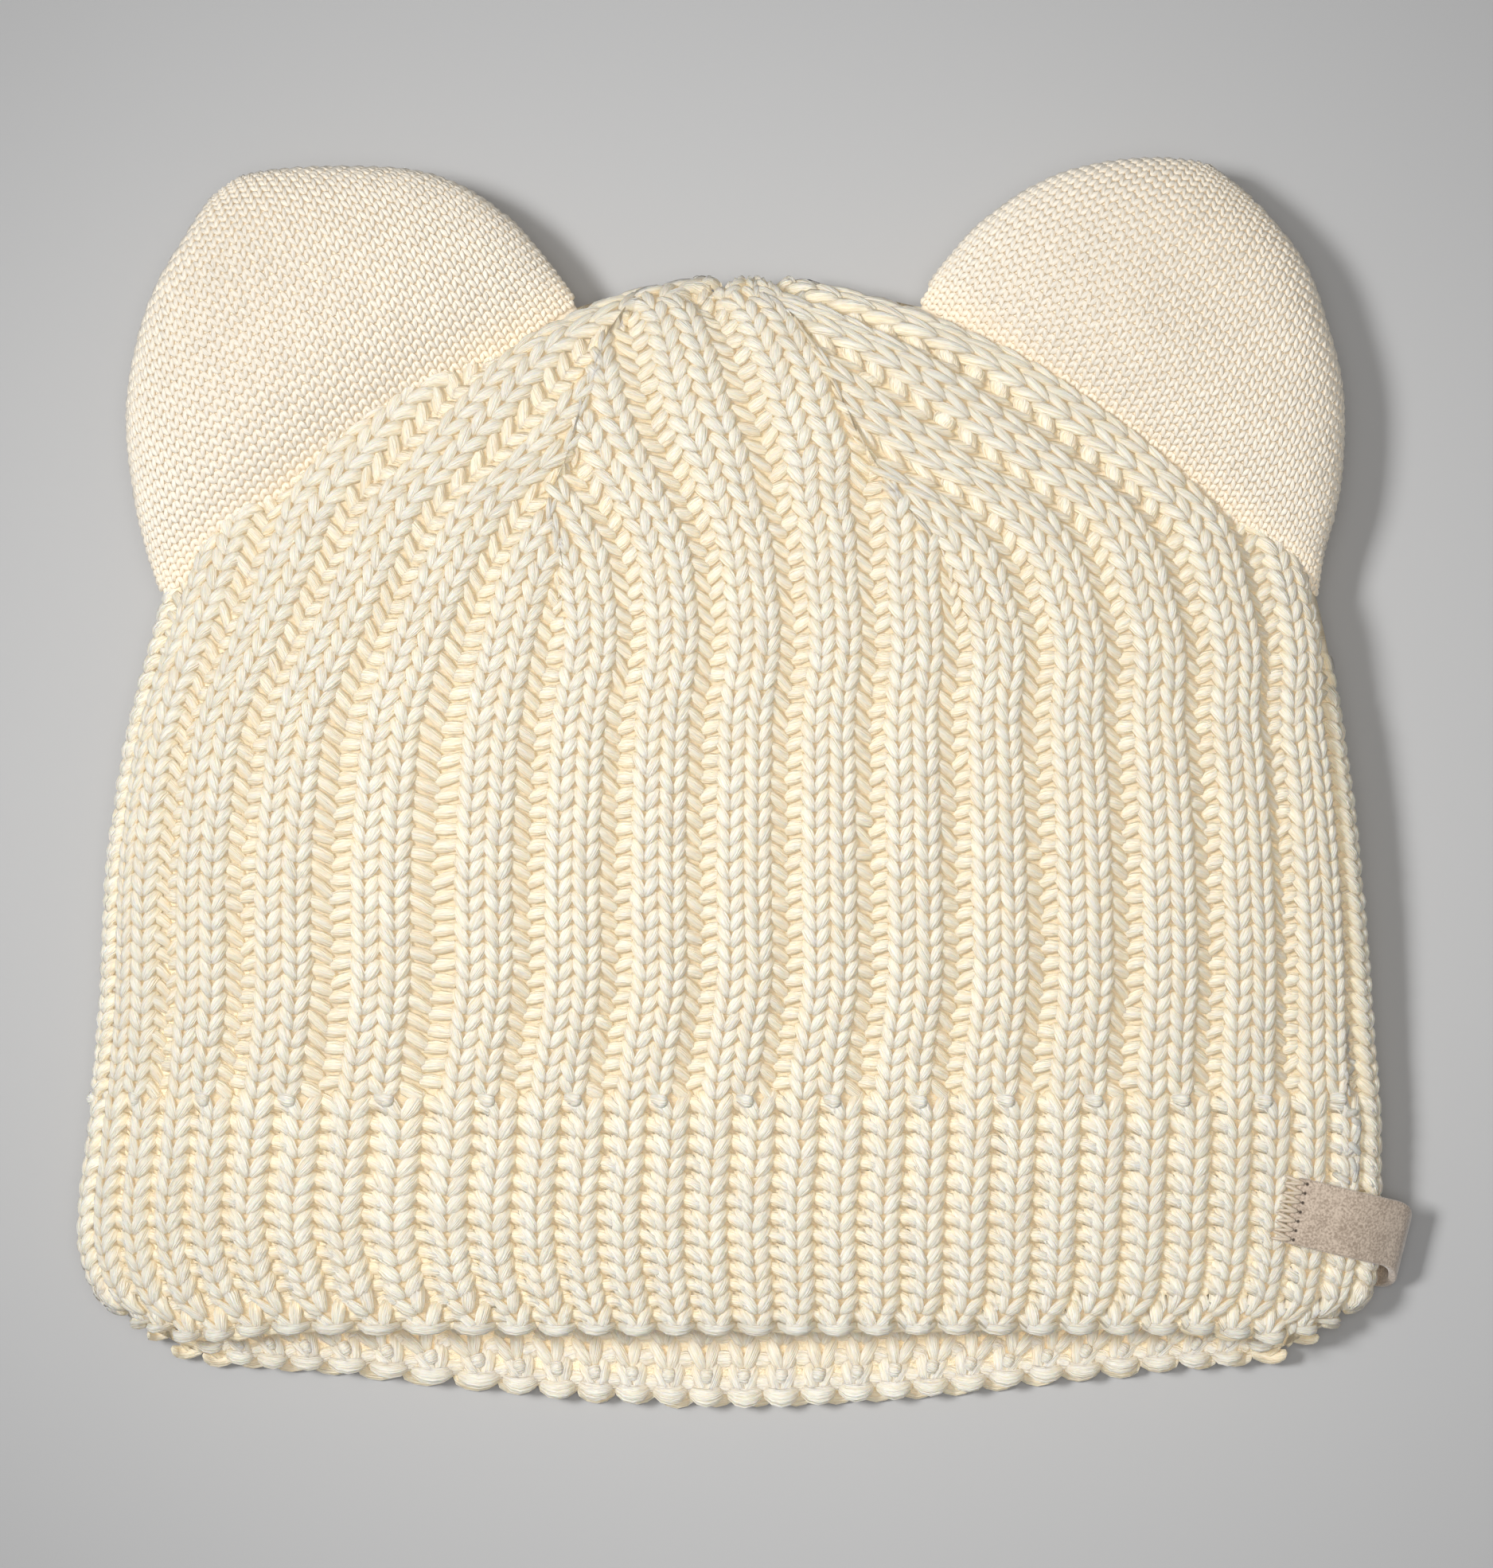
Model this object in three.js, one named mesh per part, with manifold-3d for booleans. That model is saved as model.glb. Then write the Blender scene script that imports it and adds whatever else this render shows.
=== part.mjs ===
// Infant's knitted beanie with two padded ears and a looped hem label, lying flat on its back.
// Millimetres. +X runs across the hat, +Y from the rim to the crown, +Z up from the surface it lies on.
import * as THREE from "three";
import { mergeVertices } from "three/addons/utils/BufferGeometryUtils.js";
import Module from "manifold-3d";

// The hat lying flat
const flatWidth = 180; // greatest width, in the brim
const crownHeight = 149; // rim corners to the top fold
const restUp = 72; // rim corners to the resting point on the back
const frontRimRise = 4.4; // the front rim draws up in its middle
const backRimDrop = 5.7; // the back rim hangs down in its middle
const crownThickness = 28; // front crests to back crests, at the thickest
const foldShare = 0.47; // height of the side folds, as a share of the thickness

// The knitted fabric
const repeats = 32; // two knit and two purl stitches each
const knitWall = 4; // crest of a rib to the inside of the hat
const ribDepth = 2; // crest of a rib to the bottom of the valley beside it
const scallop = 0.9; // how far a knit column bulges past the rim
const brimHeight = 36.2; // rim corners to the change from single to double ribs

// The ears
const leftEarRise = 41.8; // base chord to the top of the ear
const rightEarRise = 39.6;
const earThickness = 24;
const earBaseArch = 3; // the base follows the round of the crown by this much
const earClearance = 0.3;

// The label, a suede strap round the right fold of the brim
const labelWidth = 9.2;
const labelThickness = 1.2;
const labelFrontLeg = 12.6; // fold edge to the sewn end in front
const labelBackLeg = 8.5; // fold edge to the sewn end behind
const labelOverhang = 4.6; // how far the loop stands past the fold
const labelUp = 19.5; // rim corners to the middle of the sewn end
const labelSlant = THREE.MathUtils.degToRad(14);
const labelClearance = 0.3;

const wales = repeats * 4;
const frontWales = wales / 2;
const halfWidth = flatWidth / 2;
const rimY = -restUp;
const brimShare = brimHeight / crownHeight;
const frontRound = 2.6; // exponent of the front's arch across the hat
const backRound = 3;
const backFlat = 1.06; // over 1, so that the middle of the back lies flat
const closeFrom = 0.9; // share of the height where the layers start to close

// A table of named columns becomes one smooth curve for each column.
function curves(names, rows) {
  const made = {};
  names.forEach((name, column) => {
    made[name] = smoothCurve(rows.map((r) => r[0]), rows.map((r) => r[column]));
  });
  return made;
}

function smoothCurve(xs, ys) {
  const last = xs.length - 1;
  const rise = ys.slice(1).map((y, i) => (y - ys[i]) / (xs[i + 1] - xs[i]));
  const slope = ys.map((_, i) => {
    if (i === 0) return rise[0];
    if (i === last) return rise[last - 1];
    if (rise[i - 1] * rise[i] <= 0) return 0;
    const before = xs[i] - xs[i - 1];
    const after = xs[i + 1] - xs[i];
    const a = 2 * after + before;
    const b = after + 2 * before;
    return (a + b) / (a / rise[i - 1] + b / rise[i]);
  });
  return (x) => {
    let i = 0;
    while (i < last - 1 && x >= xs[i + 1]) i += 1;
    const h = xs[i + 1] - xs[i];
    const s = (x - xs[i]) / h;
    const start = ys[i] * (1 + 2 * s) + slope[i] * h * s;
    const end = ys[i + 1] * (3 - 2 * s) + slope[i + 1] * h * (s - 1);
    return start * (1 - s) ** 2 + end * s ** 2;
  };
}

// Sections of the hat by share of the crown's height: edges in shares of the half width,
// and thickness in shares of the crown's thickness.
const outline = curves(["up", "left", "right", "thick"], [
  [0.0, -0.913, 0.878, 0.58],
  [0.036, -0.997, 0.957, 0.61],
  [0.12, -1.028, 0.974, 0.65],
  [0.2, -1.013, 0.974, 0.7],
  [0.3, -0.992, 0.961, 0.79],
  [0.45, -0.977, 0.94, 0.94],
  [0.58, -0.944, 0.913, 1.0],
  [0.66, -0.91, 0.89, 0.99],
  [0.72, -0.88, 0.865, 0.96],
  [0.78, -0.815, 0.795, 0.91],
  [0.84, -0.715, 0.705, 0.86],
  [0.89, -0.595, 0.605, 0.82],
  [0.94, -0.415, 0.455, 0.8],
  [0.97, -0.275, 0.29, 0.8],
  [0.988, -0.165, 0.155, 0.8],
  [1.0, -0.07, 0.065, 0.8],
]);

// Stitch columns still in work, counted from the left fold over 64 in front: the side panels run from
// the folds to the decrease lines, and the middle panel runs between those lines.
const columnsInFront = 64;
const inWork = curves(
  ["up", "leftFrom", "leftTo", "middleFrom", "middleTo", "rightFrom", "rightTo"],
  [
    [0.0, 0, 22, 22, 42, 42, 64],
    [0.58, 0, 22, 22, 42, 42, 64],
    [0.66, 0.2, 22.1, 22.1, 42.2, 42.2, 62.8],
    [0.72, 0.6, 21.8, 22.8, 42.0, 42.6, 62.2],
    [0.78, 2.3, 19.4, 23.6, 40.0, 42.8, 60.6],
    [0.84, 4.0, 16.9, 26.3, 38.0, 45.6, 60.4],
    [0.89, 5.4, 15.6, 27.8, 37.6, 47.6, 60.6],
    [0.94, 7.8, 14.6, 28.8, 37.4, 49.5, 60.6],
    [0.97, 9.4, 13.2, 30.0, 37.2, 51.2, 59.0],
    [0.988, 11.0, 12.2, 31.4, 36.9, 52.0, 57.2],
    [1.0, 11.6, 12.2, 31.8, 36.8, 52.0, 55.8],
  ],
);

// The ribs spread a little unevenly over the lower half: columns moved, by column.
const drift = curves(["column", "moved"], [
  [0, 0],
  [4, -1.4],
  [10, -1.95],
  [16, -1.05],
  [20, 0],
  [32, 0.5],
  [44, 0.8],
  [54, 1.05],
  [60, 0.6],
  [64, 0],
]);

const smooth = (from, to, x) => THREE.MathUtils.smoothstep(x, from, to);

// Share of the front arc, 0 at the left fold and 1 at the right, of a column at a height.
function arcShare(column, up) {
  const at = column * (columnsInFront / frontWales);
  const moved = at + drift.moved(at) * (1 - smooth(0.56, 0.76, up));
  const panels = [
    [inWork.leftFrom(up), inWork.leftTo(up)],
    [inWork.middleFrom(up), inWork.middleTo(up)],
    [inWork.rightFrom(up), inWork.rightTo(up)],
  ];
  let before = 0;
  let all = 0;
  for (const [from, to] of panels) {
    before += THREE.MathUtils.clamp(moved, from, to) - from;
    all += to - from;
  }
  return before / all;
}

// A closed section, drawn in by `inset` all round, sampled along its front or its back.
const arcSteps = 160;
const arcs = new Map();

function arc(up, inset, front) {
  const key = `${up.toFixed(6)} ${inset.toFixed(4)} ${front}`;
  if (arcs.has(key)) return arcs.get(key);
  const top = 1 - inset / crownHeight;
  const closing = Math.max(0, (up - closeFrom) / (top - closeFrom));
  const open = Math.sqrt(Math.max(0, 1 - closing ** 2));
  const left = outline.left(up) * halfWidth + inset;
  const right = outline.right(up) * halfWidth - inset;
  const thick = outline.thick(up) * crownThickness;
  const fold = foldShare * thick;
  const depth = (front ? thick - fold : fold) - inset;
  const round = front ? frontRound : backRound;
  const points = [];
  let length = 0;
  for (let i = 0; i <= arcSteps; i += 1) {
    const turn = Math.PI * (1 - i / arcSteps);
    const across = Math.sign(Math.cos(turn)) * Math.abs(Math.cos(turn)) ** (2 / round);
    const swell = Math.abs(Math.sin(turn)) ** (2 / round);
    const x = (left + right) / 2 + (across * (right - left)) / 2;
    const z = front ? fold + depth * swell * open : fold - depth * Math.min(1, backFlat * swell) * open;
    if (i > 0) length += Math.hypot(x - points[i - 1].x, z - points[i - 1].z);
    points.push({ x, z, length });
  }
  arcs.set(key, points);
  return points;
}

// A point of the hat: share of the arc from the left fold, side, share of the height and inset.
function hatPoint(share, front, height, inset) {
  const up = height * (1 - inset / crownHeight);
  const points = arc(up, inset, front);
  const want = share * points[arcSteps].length;
  let i = 1;
  while (i < arcSteps && points[i].length < want) i += 1;
  const a = points[i - 1];
  const b = points[i];
  const s = b.length > a.length ? (want - a.length) / (b.length - a.length) : 0;
  const fade = Math.max(0, 1 - up / brimShare) ** 2;
  const middle = Math.sin(Math.PI * share);
  const shift = front ? frontRimRise * middle ** 0.5 : -backRimDrop * middle ** 2;
  return [
    THREE.MathUtils.lerp(a.x, b.x, s),
    rimY + crownHeight * up + shift * fade,
    THREE.MathUtils.lerp(a.z, b.z, s),
  ];
}

// The rib chart: two knit and two purl columns above the brim, single ones in it.
function isKnit(wale, height) {
  if (height < brimShare) return wale % 2 === 1;
  return wale % 4 === 3 || wale % 4 === 0;
}

// A column past the edge of its panel has been decreased away and lies at the rib's crest.
function isInWork(column, up) {
  const at = column * (columnsInFront / frontWales);
  return (
    (at > inWork.leftFrom(up) && at < inWork.leftTo(up)) ||
    (at > inWork.middleFrom(up) && at < inWork.middleTo(up)) ||
    (at > inWork.rightFrom(up) && at < inWork.rightTo(up))
  );
}

// Triangles from a grid of rows that close on themselves.
function ringsToTriangles(rows, triangles) {
  for (let r = 0; r < rows.length - 1; r += 1) {
    const count = rows[r].length;
    for (let i = 0; i < count; i += 1) {
      const j = (i + 1) % count;
      triangles.push([rows[r][i], rows[r][j], rows[r + 1][j]]);
      triangles.push([rows[r][i], rows[r + 1][j], rows[r + 1][i]]);
    }
  }
}

function fan(ring, centre, triangles) {
  ring.forEach((point, i) => triangles.push([ring[(i + 1) % ring.length], point, centre]));
}

// One closed geometry from triangles of points, with shared vertices and its faces pointing out.
function closedGeometry(triangles) {
  const soup = new THREE.BufferGeometry();
  soup.setAttribute("position", new THREE.Float32BufferAttribute(triangles.flat(2), 3));
  const merged = mergeVertices(soup, 1e-3);
  const old = merged.index.array;
  const kept = [];
  for (let i = 0; i < old.length; i += 3) {
    const [a, b, c] = [old[i], old[i + 1], old[i + 2]];
    if (a !== b && b !== c && c !== a) kept.push([a, b, c]);
  }
  const at = (i) => new THREE.Vector3().fromBufferAttribute(merged.getAttribute("position"), i);
  const volume = kept.reduce((sum, [a, b, c]) => sum + at(a).dot(at(b).cross(at(c))), 0);
  merged.setIndex(kept.flatMap(([a, b, c]) => (volume > 0 ? [a, b, c] : [a, c, b])));
  return merged;
}

// The knitted body: crown and brim in one piece, hollow, open at the rim
const bodyRows = [
  0, 0.03, 0.075, 0.12, 0.18, 0.236, 0.25, 0.32, 0.39, 0.46, 0.53, 0.6, 0.65,
  0.69, 0.73, 0.77, 0.81, 0.845, 0.88, 0.91, 0.935, 0.955, 0.972, 0.988, 1,
];
const liningRows = [0, 0.06, 0.14, 0.24, 0.36, 0.48, 0.6, 0.7, 0.79, 0.86, 0.92, 0.96, 0.985, 1];

function outsideRow(height, crest = 0, valley = ribDepth) {
  const row = [];
  for (let wale = 0; wale < wales; wale += 1) {
    const front = wale < frontWales;
    const column = front ? wale + 0.5 : wales - wale - 0.5;
    const knit = isKnit(wale, height);
    const inset = knit || !isInWork(column, height) ? crest : valley;
    const point = hatPoint(arcShare(column, height), front, height, inset);
    if (height === 0 && knit) point[1] -= scallop;
    row.push(point);
  }
  return row;
}

function plainRow(height, inset) {
  const count = frontWales;
  const row = [];
  for (let i = 0; i < count; i += 1) {
    const turn = (2 * (i + 0.5)) / count;
    const front = turn < 1;
    row.push(hatPoint(front ? turn : 2 - turn, front, height, inset));
  }
  return row;
}

function knitBodyGeometry() {
  const outside = bodyRows.map((height) => outsideRow(height));
  const inside = liningRows.map((height) => plainRow(height, knitWall));
  const triangles = [];
  ringsToTriangles(outside, triangles);
  const inner = [];
  ringsToTriangles(inside, inner);
  inner.forEach(([a, b, c]) => triangles.push([a, c, b]));
  const rim = outside[0];
  const lip = inside[0];
  lip.forEach((point, i) => {
    const next = lip[(i + 1) % lip.length];
    const a = rim[2 * i];
    const b = rim[2 * i + 1];
    const c = rim[(2 * i + 2) % rim.length];
    triangles.push([b, a, point], [c, b, point], [c, point, next]);
  });
  return closedGeometry(triangles);
}

// The body filled in and grown by the clearance, which the ears are cut with
function bodyCutter() {
  const upper = bodyRows.filter((height) => height > 0.5);
  const rows = upper.map((height) => outsideRow(height, -earClearance, -earClearance));
  const triangles = [];
  ringsToTriangles(rows, triangles);
  const centre = [0, rows[0][0][1], (foldShare * crownThickness) / 2];
  fan(rows[0], centre, triangles);
  return closedGeometry(triangles);
}

// The ears: padded, sewn along the crown's edge between two heights
const earFrom = 0.7;
const earTo = 0.974;
const earRise = { left: leftEarRise, right: rightEarRise };
const earCentre = { along: 0.53, out: 0.42 };
const earRings = [0.3, 0.55, 0.75, 0.88, 0.96];
const earRound = 2.6; // exponent of the pad's swell towards its outline
const earUnder = 1.03; // over 1, so that the pad lies flat underneath
const earBaseSteps = 10;

// Outline from the lower end of the base: shares of the base chord and of the rise.
const earOutline = {
  left: [
    [0, 0], [0.025, 0.15], [0.089, 0.4], [0.154, 0.58], [0.24, 0.734], [0.347, 0.866],
    [0.446, 0.94], [0.513, 0.99], [0.57, 1], [0.636, 0.974], [0.72, 0.895], [0.797, 0.805],
    [0.871, 0.708], [0.925, 0.608], [0.965, 0.48], [0.992, 0.318], [1, 0.16], [1, 0],
  ],
  right: [
    [0, 0], [0.045, 0.147], [0.081, 0.308], [0.145, 0.5], [0.223, 0.669], [0.323, 0.81],
    [0.435, 0.93], [0.555, 0.986], [0.658, 1], [0.74, 0.965], [0.805, 0.889], [0.874, 0.78],
    [0.933, 0.65], [0.983, 0.452], [1.005, 0.278], [1.009, 0.13], [1, 0],
  ],
};

function edgePoint(side, up) {
  return new THREE.Vector2(outline[side](up) * halfWidth, rimY + crownHeight * up);
}

function earGeometry(side) {
  const low = edgePoint(side, earFrom);
  const high = edgePoint(side, earTo);
  const chord = high.clone().sub(low);
  const width = chord.length();
  const along = chord.clone().divideScalar(width);
  const out = new THREE.Vector2(-along.y, along.x).multiplyScalar(side === "left" ? 1 : -1);
  const place = (s, h) => low.clone().addScaledVector(along, s * width).addScaledVector(out, h);
  const ring = earOutline[side].map(([s, h]) => place(s, h * earRise[side]));
  for (let i = 1; i < earBaseSteps; i += 1) {
    const s = 1 - i / earBaseSteps;
    ring.push(place(s, earBaseArch * Math.sin(Math.PI * s)));
  }
  const centre = place(earCentre.along, earCentre.out * earRise[side]);
  const middle = earThickness / 2;
  const level = (share, z) =>
    ring.map((p) => {
      const q = centre.clone().lerp(p, share);
      return [q.x, q.y, Math.max(0, z)];
    });
  const swell = (share) => middle * Math.sqrt(1 - share ** earRound);
  const rows = [
    ...earRings.map((share) => level(share, middle + swell(share))),
    level(1, middle),
    ...[...earRings].reverse().map((share) => level(share, middle - swell(share) * earUnder)),
  ];
  const triangles = [];
  ringsToTriangles(rows, triangles);
  fan(rows[0], [centre.x, centre.y, 2 * middle], triangles);
  fan([...rows[rows.length - 1]].reverse(), [centre.x, centre.y, 0], triangles);
  return closedGeometry(triangles);
}

// Cuts with manifold-3d, which takes and gives indexed triangles
const wasm = await Module();
wasm.setup();

function toSolid(geometry) {
  return new wasm.Manifold(
    new wasm.Mesh({
      numProp: 3,
      vertProperties: new Float32Array(geometry.getAttribute("position").array),
      triVerts: new Uint32Array(geometry.index.array),
    }),
  );
}

function fromSolid(solid) {
  const mesh = solid.getMesh();
  const geometry = new THREE.BufferGeometry();
  geometry.setAttribute("position", new THREE.Float32BufferAttribute(mesh.vertProperties, 3));
  geometry.setIndex(Array.from(mesh.triVerts));
  return geometry;
}

// The label: one strap from its front end, round the fold and back under the brim
const labelSteps = 26;

function frontSurface(x, up) {
  const points = arc(up, 0, true);
  let i = 1;
  while (i < arcSteps && points[i].x < x) i += 1;
  const a = points[i - 1];
  const b = points[i];
  return THREE.MathUtils.mapLinear(x, a.x, b.x, a.z, b.z);
}

function labelGeometry() {
  const up = labelUp / crownHeight;
  const edge = outline.right(up) * halfWidth;
  const fold = foldShare * outline.thick(up) * crownThickness;
  const lift = labelClearance + labelThickness / 2;
  const nose = labelOverhang - labelThickness / 2;
  const under = labelThickness / 2;
  const onTop = (past) => [past, frontSurface(edge + past, up) + lift * 1.25];
  const path = new THREE.CatmullRomCurve3(
    [
      onTop(-labelFrontLeg),
      onTop(-labelFrontLeg * 0.75),
      onTop(-labelFrontLeg * 0.5),
      onTop(-labelFrontLeg * 0.28),
      [nose * 0.3, fold * 1.24],
      [nose * 0.88, fold * 0.92],
      [nose, fold * 0.6],
      [nose * 0.8, fold * 0.27],
      [nose * 0.2, under * 1.25],
      [-labelBackLeg * 0.35, under],
      [-labelBackLeg, under],
    ].map(([past, z]) => new THREE.Vector3(past, 0, z)),
    false,
    "centripetal",
  );
  const cos = Math.cos(labelSlant);
  const sin = Math.sin(labelSlant);
  const across = new THREE.Vector3(sin, cos, 0);
  const rows = [];
  for (let i = 0; i <= labelSteps; i += 1) {
    const flat = path.getPoint(i / labelSteps);
    const way = path.getTangent(i / labelSteps);
    const run = flat.x + labelFrontLeg;
    const at = new THREE.Vector3(
      edge - labelFrontLeg + run * cos,
      rimY + labelUp - run * sin,
      flat.z,
    );
    const normal = new THREE.Vector3(-way.z * cos, way.z * sin, way.x);
    rows.push(
      [[1, 1], [-1, 1], [-1, -1], [1, -1]].map(([side, face]) =>
        at
          .clone()
          .addScaledVector(across, (side * labelWidth) / 2)
          .addScaledVector(normal, (face * labelThickness) / 2)
          .toArray(),
      ),
    );
  }
  const triangles = [];
  ringsToTriangles(rows, triangles);
  const first = rows[0];
  const last = rows[labelSteps];
  triangles.push([first[1], first[0], first[2]], [first[2], first[0], first[3]]);
  triangles.push([last[0], last[1], last[2]], [last[0], last[2], last[3]]);
  return closedGeometry(triangles);
}

// Materials
const yarn = new THREE.MeshStandardMaterial({ color: "#f0e6cd", roughness: 0.95, metalness: 0 });
const jersey = new THREE.MeshStandardMaterial({ color: "#f3ead4", roughness: 0.95, metalness: 0 });
const suede = new THREE.MeshStandardMaterial({ color: "#c7b4a0", roughness: 0.9, metalness: 0 });

function piece(name, geometry, material) {
  const mesh = new THREE.Mesh(geometry, material);
  mesh.name = name;
  return mesh;
}

const hat = new THREE.Group();
hat.name = "baby_hat_with_ears";
hat.add(piece("knit_body", knitBodyGeometry(), yarn));

const cutter = toSolid(bodyCutter());
for (const side of ["left", "right"]) {
  const ear = toSolid(earGeometry(side)).subtract(cutter);
  hat.add(piece(`${side}_ear`, fromSolid(ear), jersey.clone()));
}
hat.add(piece("label_loop", labelGeometry(), suede));

export default hat;
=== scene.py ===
import math

import bmesh
import bpy
import numpy as np
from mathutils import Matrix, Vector


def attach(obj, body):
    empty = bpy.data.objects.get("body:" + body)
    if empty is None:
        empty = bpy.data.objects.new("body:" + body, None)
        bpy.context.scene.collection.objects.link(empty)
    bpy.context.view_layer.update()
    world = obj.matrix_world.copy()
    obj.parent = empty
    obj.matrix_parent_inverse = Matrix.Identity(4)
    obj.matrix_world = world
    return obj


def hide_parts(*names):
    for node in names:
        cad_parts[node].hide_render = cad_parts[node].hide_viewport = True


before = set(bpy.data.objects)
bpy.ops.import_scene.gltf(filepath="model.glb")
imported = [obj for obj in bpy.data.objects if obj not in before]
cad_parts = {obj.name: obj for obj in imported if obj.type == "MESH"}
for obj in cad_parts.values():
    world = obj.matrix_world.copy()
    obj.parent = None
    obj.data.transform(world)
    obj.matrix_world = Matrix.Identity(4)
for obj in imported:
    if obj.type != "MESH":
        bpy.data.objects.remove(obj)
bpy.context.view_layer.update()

rng = np.random.default_rng(7)
mm = 0.001

# Camera: straight above the hat, through a long lens
photo = {"width": 1876, "height": 1970, "mmPerPixel": 0.11, "zeroX": 937, "zeroY": 1050}
camera = {"height": 1.25, "focusZ": 0.010}


def makeCamera():
    cam = bpy.data.objects.new("camera", bpy.data.cameras.new("camera"))
    bpy.context.scene.collection.objects.link(cam)
    centreX = (photo["width"] / 2 - photo["zeroX"]) * photo["mmPerPixel"] * mm
    centreY = (photo["zeroY"] - photo["height"] / 2) * photo["mmPerPixel"] * mm
    cam.location = (centreX, centreY, camera["height"])
    tall = photo["height"] * photo["mmPerPixel"] * mm
    cam.data.lens = cam.data.sensor_width * (camera["height"] - camera["focusZ"]) / tall
    cam.data.clip_start = 0.05
    bpy.context.scene.camera = cam


makeCamera()
bpy.context.scene.view_settings.view_transform = "Standard"
print("camera ready")


# The hat's form, the same sections as the solid: lengths in millimetres
hat = {
    "flatWidth": 180.0, "crownHeight": 149.0, "restUp": 72.0, "frontRimRise": 4.4, "backRimDrop": 5.7,
    "thickness": 28.0, "foldShare": 0.47, "knitWall": 4.0, "ribDepth": 2.0, "brimHeight": 36.2,
    "frontRound": 2.6, "backRound": 3.0, "backFlat": 1.06, "closeFrom": 0.9, "rimBlend": 0.13,
    "cornerUp": 0.012, "cornerRise": 4.6, "cornerWide": 0.075, "cornerHigh": 0.12,
}
floorGap = 0.02  # nothing of the hat comes nearer to the floor, in millimetres
halfWidth = hat["flatWidth"] / 2
brimShare = hat["brimHeight"] / hat["crownHeight"]


def smoothCurve(xs, ys):
    xs = np.array(xs, float)
    ys = np.array(ys, float)
    run = np.diff(xs)
    rise = np.diff(ys) / run
    slope = np.zeros_like(ys)
    slope[0] = rise[0]
    slope[-1] = rise[-1]
    for i in range(1, len(xs) - 1):
        if rise[i - 1] * rise[i] > 0:
            a = 2 * run[i] + run[i - 1]
            b = run[i] + 2 * run[i - 1]
            slope[i] = (a + b) / (a / rise[i - 1] + b / rise[i])

    def at(x):
        x = np.asarray(x, float)
        k = np.clip(np.searchsorted(xs, x, side="right") - 1, 0, len(xs) - 2)
        h = run[k]
        s = (x - xs[k]) / h
        start = ys[k] * (1 + 2 * s) + slope[k] * h * s
        end = ys[k + 1] * (3 - 2 * s) + slope[k + 1] * h * (s - 1)
        return start * (1 - s) ** 2 + end * s ** 2

    return at


def curves(names, chart):
    at = [line[0] for line in chart]
    return {name: smoothCurve(at, [line[i] for line in chart]) for i, name in enumerate(names)}


# Sections by share of the height: edges in shares of the half width, thickness in shares of the whole
outline = curves(["up", "left", "right", "thick"], [
    (0.0, -0.913, 0.878, 0.58), (0.036, -0.997, 0.957, 0.61), (0.12, -1.028, 0.974, 0.65),
    (0.2, -1.013, 0.974, 0.7), (0.3, -0.992, 0.961, 0.79), (0.45, -0.977, 0.94, 0.94),
    (0.58, -0.944, 0.913, 1.0), (0.66, -0.91, 0.89, 0.99), (0.72, -0.88, 0.865, 0.96),
    (0.78, -0.815, 0.795, 0.91), (0.84, -0.715, 0.705, 0.86), (0.89, -0.595, 0.605, 0.82),
    (0.94, -0.415, 0.455, 0.8), (0.97, -0.275, 0.29, 0.8), (0.988, -0.165, 0.155, 0.8),
    (1.0, -0.07, 0.065, 0.8),
])

# Stitch columns of one side of the hat, and of one repeat of the crown's double rib
sideColumns = 64
ribRepeat = 4

# Stitch columns still in work in the two side panels and the middle one, counted from the left fold
inWork = curves(["up", "leftFrom", "leftTo", "middleFrom", "middleTo", "rightFrom", "rightTo"], [
    (0.0, 0, 22, 22, 42, 42, 64), (0.58, 0, 22, 22, 42, 42, 64), (0.66, 0.2, 22.1, 22.1, 42.2, 42.2, 62.8),
    (0.72, 0.6, 21.8, 22.8, 42.0, 42.6, 62.2), (0.78, 2.3, 19.4, 23.6, 40.0, 42.8, 60.6),
    (0.84, 4.0, 16.9, 26.3, 38.0, 45.6, 60.4), (0.89, 5.4, 15.6, 27.8, 37.6, 47.6, 60.6),
    (0.94, 7.8, 14.6, 28.8, 37.4, 49.5, 60.6), (0.97, 9.4, 13.2, 30.0, 37.2, 51.2, 59.0),
    (0.988, 11.0, 12.2, 31.4, 36.9, 52.0, 57.2), (1.0, 11.6, 12.2, 31.8, 36.8, 52.0, 55.8),
])

# Widths in even shares: a knit column is wider, and a purl one takes what is left
knitWide = 1.34
brimKnitWide = 1.7
brimPurl = {"offset": 1.14, "half": 0.33}

# How far the columns stand from even places, as the photograph shows them
drift = curves(["column", "moved"], [
    (0, 0), (4, -1.4), (10, -1.95), (16, -1.05), (20, 0), (32, 0.5), (44, 0.8), (54, 1.05), (60, 0.6),
    (64, 0),
])


def smoothStep(low, high, x):
    s = np.clip((x - low) / (high - low), 0, 1)
    return s * s * (3 - 2 * s)


def panels(up):
    return [(inWork[side + "From"](up), inWork[side + "To"](up)) for side in ("left", "middle", "right")]


# A rib keeps its width where the columns drift: only the valleys beside it stretch
def ribDrift(column):
    centre = ribRepeat * np.round(column / ribRepeat)
    fromCentre = column - centre
    toward = centre + ribRepeat * np.sign(fromCentre)
    own = drift["moved"](np.clip(centre, 0, sideColumns))
    other = drift["moved"](np.clip(toward, 0, sideColumns))
    share = 0.5 * np.clip((np.abs(fromCentre) - knitWide) / (2 - knitWide), 0, 1)
    return own * (1 - share) + other * share


def moved(column, up):
    column = np.clip(column, 0, sideColumns)
    lean = -0.7 * np.sin(np.pi * column / sideColumns) * (1 - smoothStep(0.243, 0.37, up))
    inCrown = smoothStep(0.9 * brimShare, 1.15 * brimShare, up)
    even = drift["moved"](column)
    shift = even + 0.5 * inCrown * (ribDrift(column) - even)
    return column + shift * (1 - smoothStep(0.56, 0.76, up)) + lean


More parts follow.
